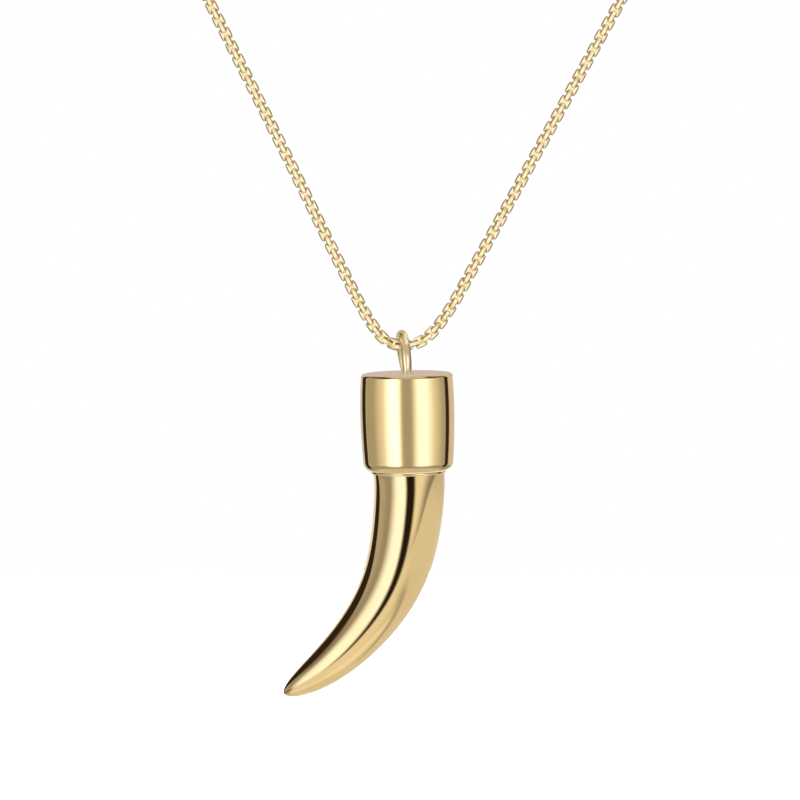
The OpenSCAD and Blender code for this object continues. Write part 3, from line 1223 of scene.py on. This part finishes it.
WIRE_TENT = Surround("wire_tent", ("bail_loop", "jump_ring_left", "jump_ring_right", "spring_ring"), 0.60, (
    Panel("overhead", ROUND, (20, 90), 0.45, (0, 0, 12, 0)),
    Panel("upper left", (-132, -76), (22, 76), 0.22, (15, 10, 10, 8), tint=(1.0, 0.88, 0.7)),
    Panel("rear leg light", (-120, -66), (6, 30), 0.95, (10, 12, 4, 6)),
    Panel("upper right", (8, 150), (20, 74), 1.1, (15, 15, 10, 12), tint=COOL),
    Panel("left edge", (-130, -88), (-40, 1), 0.24, (8, 8, 8, 4)),
    Panel("right edge", (86, 135), (-40, 15), 0.25, (8, 8, 8, 8)),
    Panel("low left light", (-92, -38), (-66, -24), 1.4, (10, 8, 8, 10), tint=(1.0, 1.0, 1.45)),
    Panel("low middle", (-38, 12), (-70, -24), 0.76, (8, 8, 8, 10), tint=(1.0, 1.0, 1.2)),
    Panel("low right light", (12, 60), (-66, -24), 1.45, (8, 10, 8, 10), tint=(1.0, 1.0, 1.45)),
    Panel("foot left", (-160, -105), (-66, -40), 0.85, (10, 10, 8, 8)),
    Panel("foot right", (105, 160), (-66, -40), 1.0, (10, 10, 8, 8)),
    Panel("below", ROUND, (-90, -68), 0.38, (0, 0, 0, 4)),
), 2600.0)


@dataclass
class Studio:
    """Camera, pale floor and soft light."""

    elevation: float = 4.6
    lens: float = 200.0
    sensor: float = 36.0
    frame_width: float = 86.49
    aim: tuple[float, float, float] = (-0.35, 0.0, -5.86)
    floor_z: float = -1.0
    floor_r: float = 7.0
    floor_start: float = 0.02
    floor_rings: int = 24
    floor_sides: int = 96
    floor_tones: tuple[float, float] = (0.95, 0.97)
    floor_glow: float = 1.1
    floor_roughness: float = 0.9
    paper_scale: float = 3.0
    paper_range: tuple[float, float] = (0.3, 0.7)
    clip: tuple[float, float] = (0.05, 50.0)
    surrounds: tuple[Surround, ...] = (HORN_TENT, CAP_TENT, CHAIN_TENT, WIRE_TENT)

    def camera(self) -> None:
        """Camera in front, a little above level, with the photograph's framing."""
        data = bpy.data.cameras.new("camera")
        data.lens, data.sensor_width = self.lens, self.sensor
        made = bpy.data.objects.new("camera", data)
        bpy.context.collection.objects.link(made)
        up = math.radians(self.elevation)
        back = Vector((0.0, -math.cos(up), math.sin(up)))
        away = self.frame_width / self.sensor * self.lens * MM
        made.location = Vector(tuple((LOW + np.array(self.aim)) * MM)) + back * away
        made.rotation_mode = "QUATERNION"
        made.rotation_quaternion = (-back).to_track_quat("-Z", "Y")
        data.clip_start, data.clip_end = self.clip
        bpy.context.scene.camera = made

    def floor(self) -> None:
        """Wide pale disc, far below the pendant: rings of growing radius about the middle."""
        radii = np.linspace(self.floor_start, 1.0, self.floor_rings) ** 2 * self.floor_r / MM
        profile = np.stack([radii, np.full(self.floor_rings, self.floor_z / MM)], axis=-1)
        made = Form().add_rings(revolved(profile, self.floor_sides)).piece("floor")
        material, board = new_material("pale_floor")
        place = board.node("ShaderNodeTexCoord").outputs["Object"]
        paper = board.noise(place, self.paper_scale).fade(*self.paper_range)
        tone = board.mix(paper, *(rgba((grey, grey, grey)) for grey in self.floor_tones))
        skin = board.node("ShaderNodeBsdfPrincipled", {}, {
            "Base Color": tone,
            "Roughness": self.floor_roughness,
            "Emission Color": tone,
            "Emission Strength": self.floor_glow,
        })
        board.surface(skin)
        made.data.materials.append(material)
        made.visible_glossy = False

    def light(self) -> None:
        """Plain white to the eye, and the pieces' tents in their polish."""
        world = bpy.data.worlds.new("studio")
        world.use_nodes = True
        board = Board(world.node_tree)
        seen = Signal(board, board.node("ShaderNodeLightPath").outputs["Is Camera Ray"])
        sky = board.node("ShaderNodeBackground", {}, {"Color": rgba((1.0, 1.0, 1.0)), "Strength": seen})
        board.surface(sky, "ShaderNodeOutputWorld")
        bpy.context.scene.world = world
        for surround in self.surrounds:
            surround.build()

    def build(self) -> None:
        """Sets the whole studio up, once the pieces are there."""
        self.camera()
        self.floor()
        self.light()
        bpy.context.scene.view_settings.view_transform = "Standard"


def main() -> None:
    """Builds the necklace, the pendant and the studio in order."""
    logging.basicConfig(level=logging.INFO, format="%(message)s")
    for part in (Necklace(), Pendant(), Studio()):
        part.build()
        log.info("built: %s", type(part).__name__)


if __name__ == "__main__":
    main()
